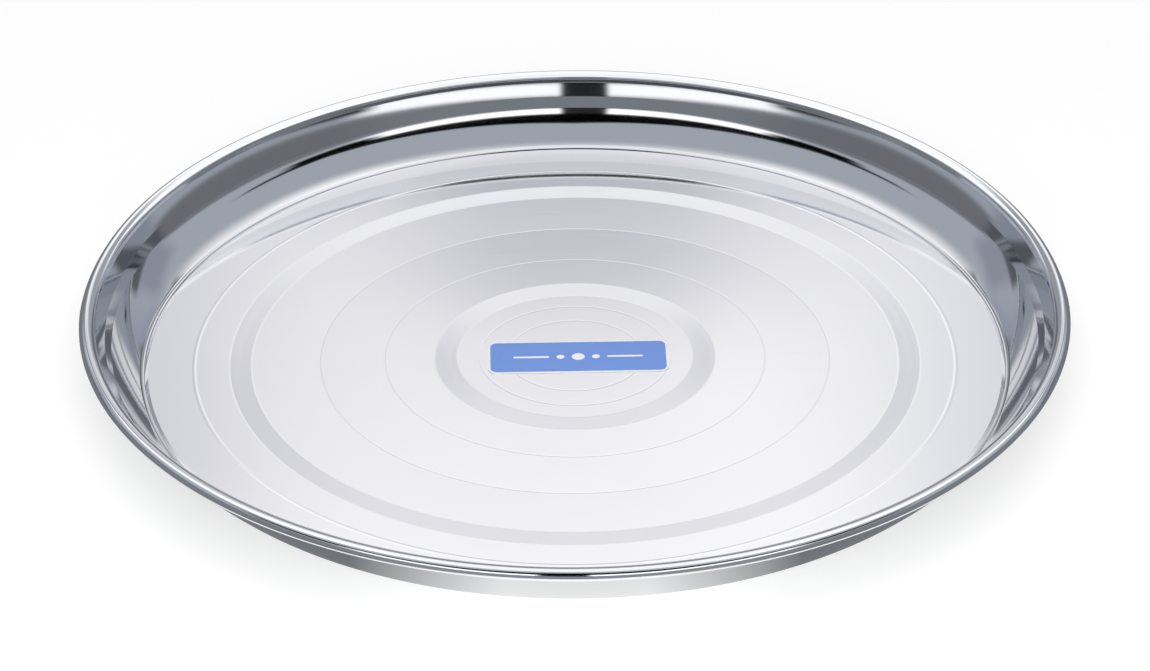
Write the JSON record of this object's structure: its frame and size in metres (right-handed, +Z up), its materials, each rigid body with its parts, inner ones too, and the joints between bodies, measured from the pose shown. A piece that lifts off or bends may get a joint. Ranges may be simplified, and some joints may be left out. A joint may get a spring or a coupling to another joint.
{
  "type": "thali plate",
  "caption": "Round stainless steel thali plate with a ringed satin floor, a stepped flaring wall, a rolled rim and a small label stuck to the middle of its floor.",
  "frame": {"origin": "on the plate's axis, at the level of the surface that the plate stands on", "axes": "+Z up along the plate's axis, +X to the right along the label, -Y towards the picture's camera"},
  "size_m": [0.3, 0.3, 0.0206],
  "materials": {
    "stainless_steel": "mirror polished wall and rim, satin floor",
    "label_adhesive": "clear pressure-sensitive adhesive",
    "label_film": "white label film",
    "label_print": "blue printed coat"
  },
  "bodies": {
    "root": {"plate": "stainless_steel", "label_adhesive": "label_adhesive", "label_film": "label_film", "label_print": "label_print"}
  },
  "joints": []
}
